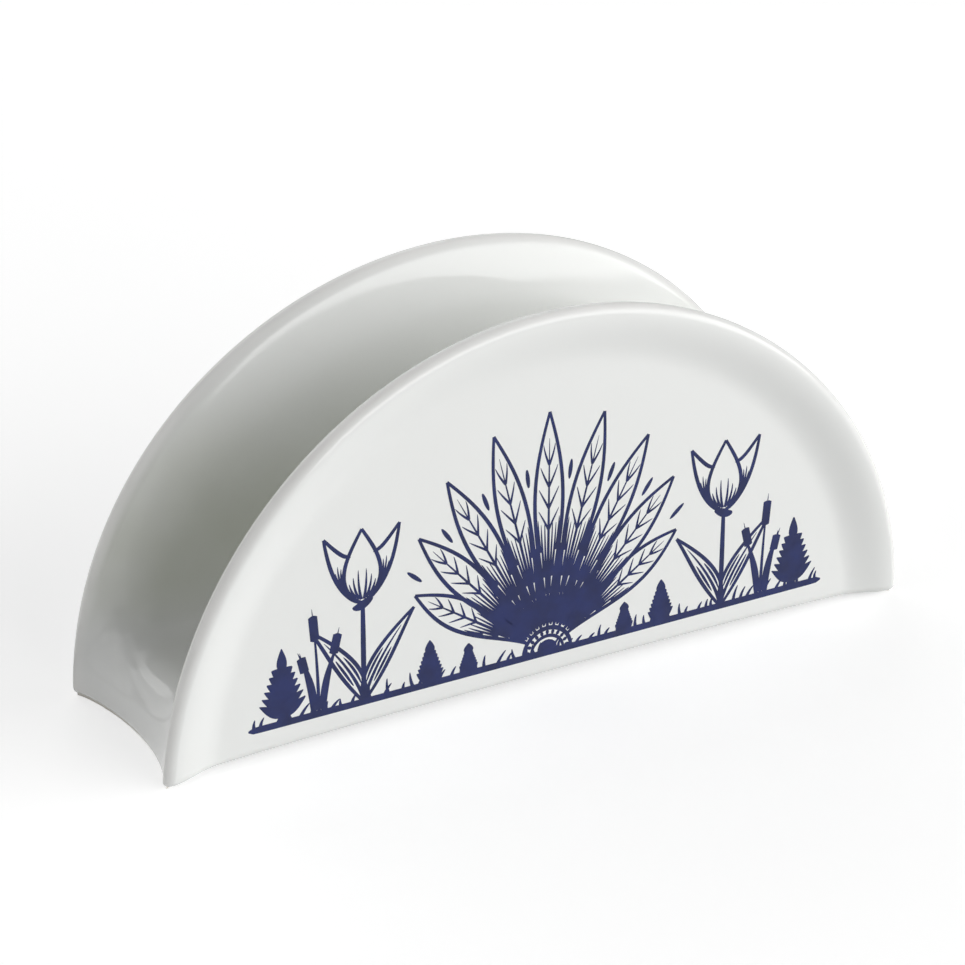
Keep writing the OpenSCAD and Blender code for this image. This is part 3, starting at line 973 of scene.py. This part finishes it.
class NAPKIN_OT_feet(bpy.types.Operator):
    """Gives the two ground feet their bare clay"""

    bl_idname = "napkin_holder.feet"
    bl_label = "Bare feet"

    def execute(self, context):
        clay = clay_material(context.scene.fired_finish)
        for name in ("left_foot", "right_foot"):
            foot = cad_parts[name]
            for slot in foot.material_slots:
                slot.material = clay
            if not foot.material_slots:
                raise RuntimeError(f"{name} has no material slot")
        return {"FINISHED"}


class NAPKIN_OT_prints(bpy.types.Operator):
    """Draws the fired prints on the front and the back face"""

    bl_idname = "napkin_holder.prints"
    bl_label = "Fired prints"

    def execute(self, context):
        sizes = number_inputs(context.scene.print_drawing)
        finish = context.scene.fired_finish
        ink = ink_material(finish)
        front = run_tree(print_tree(sizes, ink, finish.seed), sizes, "front_drawing")
        close_seams(front.data, INK_GAP)
        front.data.shade_flat()
        mesh = front.data.copy()
        mesh.name = "back_drawing"
        mesh.transform(Matrix.Rotation(math.pi, 4, "Z"))
        back = link_mesh(mesh, "back_drawing")
        for piece, node in ((front, "front_print"), (back, "back_print")):
            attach(piece, "root")
            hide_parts(node)
        return {"FINISHED"}


def lamp(name, place, target, width, height, power):
    """A soft rectangular lamp that faces a target."""
    light = bpy.data.lights.new(name, "AREA")
    light.shape, light.size, light.size_y = "RECTANGLE", width, height
    light.energy = power
    holder = bpy.data.objects.new(name, light)
    bpy.context.scene.collection.objects.link(holder)
    holder.location = place
    aim = Vector(target) - Vector(place)
    holder.rotation_euler = aim.to_track_quat("-Z", "Y").to_euler()
    return holder


# Name, place, width, height and power of each lamp, in metres and watts
LAMPS = (
    ("key_lamp", (0.980, -1.260, 0.700), 3.00, 1.30, 21.30),
    ("low_key_lamp", (0.850, -1.300, 0.500), 2.60, 0.90, 13.10),
    ("right_lamp", (1.400, -0.500, 0.500), 1.00, 0.90, 0.80),
    ("left_lamp", (-1.500, 0.250, 0.650), 2.60, 1.20, 6.60),
    ("high_left_lamp", (-0.990, 0.000, 1.100), 1.40, 1.20, 2.30),
    ("back_lamp", (0.000, 1.500, 0.650), 2.40, 1.20, 6.80),
    ("high_back_lamp", (0.000, 1.100, 1.200), 1.60, 1.20, 6.10),
)


def table_material(stage):
    """Pale table top that reads white to the camera and keeps the holder's soft shadow."""
    material = bpy.data.materials.new("table")
    material.use_nodes = True
    tree = material.node_tree
    tree.nodes.clear()
    place = add_node(tree, "ShaderNodeTexCoord")
    noise = node_with(tree, "ShaderNodeTexNoise", Vector=place.outputs["Object"],
                      Scale=TABLE_MOTTLE, Detail=3.0)
    tone = toned(tree, noise.outputs[0], stage.table, TABLE_DARKER)
    matt = node_with(tree, "ShaderNodeBsdfDiffuse", Color=tone)
    glow = node_with(tree, "ShaderNodeEmission", Color=(1.0, 1.0, 1.0, 1.0),
                     Strength=TABLE_GLOW)
    both = add_node(tree, "ShaderNodeAddShader")
    plug(tree, both.inputs[0], matt.outputs[0])
    plug(tree, both.inputs[1], glow.outputs[0])
    path = add_node(tree, "ShaderNodeLightPath")
    seen = (Term(tree, path.outputs["Is Camera Ray"])
            + Term(tree, path.outputs["Is Glossy Ray"])
            + Term(tree, path.outputs["Is Transmission Ray"])).limit()
    choice = add_node(tree, "ShaderNodeMixShader")
    plug(tree, choice.inputs[0], seen)
    plug(tree, choice.inputs[1], matt.outputs[0])
    plug(tree, choice.inputs[2], both.outputs[0])
    out = add_node(tree, "ShaderNodeOutputMaterial")
    plug(tree, out.inputs["Surface"], choice.outputs[0])
    return material


class NAPKIN_OT_stage(bpy.types.Operator):
    """Sets the pale table, the soft lamps, the world and the camera"""

    bl_idname = "napkin_holder.stage"
    bl_label = "Table, lamps and camera"

    def execute(self, context):
        stage = context.scene.studio_stage
        half = stage.table_size / 2
        mesh = bpy.data.meshes.new("table")
        mesh.from_pydata([(-half, -half, 0), (half, -half, 0), (half, half, 0),
                          (-half, half, 0)], [], [(0, 1, 2, 3)])
        mesh.materials.append(table_material(stage))
        link_mesh(mesh, "table")
        for name, place, width, height, power in LAMPS:
            lamp(name, place, LAMP_TARGET, width, height, power)

        world = bpy.data.worlds.new("studio")
        context.scene.world = world
        world.use_nodes = True
        tree = world.node_tree
        path = add_node(tree, "ShaderNodeLightPath")
        seen = (Term(tree, path.outputs["Is Camera Ray"])
                + Term(tree, path.outputs["Is Transmission Ray"])).limit()
        back = tree.nodes["Background"]
        back.inputs["Color"].default_value = (1.0, 1.0, 1.0, 1.0)
        mirrored = Term(tree, path.outputs["Is Glossy Ray"]) * ROOM_MIRRORED
        plug(tree, back.inputs["Strength"], pick(seen, 1.0, mirrored))

        camera = bpy.data.cameras.new("camera")
        camera.lens, camera.sensor_width = stage.lens, SENSOR_WIDTH
        camera.shift_x, camera.shift_y = CAMERA_SHIFT_X, CAMERA_SHIFT_Y
        camera.clip_start, camera.clip_end = NEAREST, FARTHEST
        eye = bpy.data.objects.new("camera", camera)
        context.scene.collection.objects.link(eye)
        right, up = Vector(CAMERA_RIGHT), Vector(CAMERA_UP)
        backward = right.cross(up)
        eye.matrix_world = Matrix.Translation(Vector(stage.eye)) @ Matrix(
            (right, up, backward)).transposed().to_4x4()
        context.scene.camera = eye
        context.scene.view_settings.view_transform = "Standard"
        return {"FINISHED"}


class NAPKIN_PT_panel(bpy.types.Panel):
    """Lists the holder's pieces and sizes in the sidebar of the 3D view"""

    bl_idname = "NAPKIN_PT_panel"
    bl_label = "Napkin holder"
    bl_space_type = "VIEW_3D"
    bl_region_type = "UI"
    bl_category = "Napkin holder"

    def draw(self, context):
        scene = context.scene
        for operator, group in (
            (NAPKIN_OT_body, scene.porcelain_shape), (NAPKIN_OT_feet, scene.fired_finish),
            (NAPKIN_OT_prints, scene.print_drawing), (NAPKIN_OT_stage, scene.studio_stage),
        ):
            box = self.layout.box()
            box.operator(operator.bl_idname)
            for prop in group.bl_rna.properties:
                if prop.identifier not in ("rna_type", "name"):
                    box.prop(group, prop.identifier)


GROUPS = (("porcelain_shape", PorcelainShape), ("print_drawing", PrintDrawing),
          ("fired_finish", FiredFinish), ("studio_stage", StudioStage))
CLASSES = (NAPKIN_OT_body, NAPKIN_OT_feet, NAPKIN_OT_prints, NAPKIN_OT_stage,
           NAPKIN_PT_panel)


def register():
    """Makes the property groups, the operators and the panel known to Blender."""
    for name, group in GROUPS:
        bpy.utils.register_class(group)
        setattr(bpy.types.Scene, name, PointerProperty(type=group))
    for cls in CLASSES:
        bpy.utils.register_class(cls)


def unregister():
    """Takes them back in the opposite order."""
    for cls in reversed(CLASSES):
        bpy.utils.unregister_class(cls)
    for name, group in reversed(GROUPS):
        delattr(bpy.types.Scene, name)
        bpy.utils.unregister_class(group)


def main():
    """Makes every piece in order."""
    register()
    bpy.ops.napkin_holder.body()
    bpy.ops.napkin_holder.feet()
    bpy.ops.napkin_holder.prints()
    bpy.ops.napkin_holder.stage()


if __name__ == "__main__":
    main()
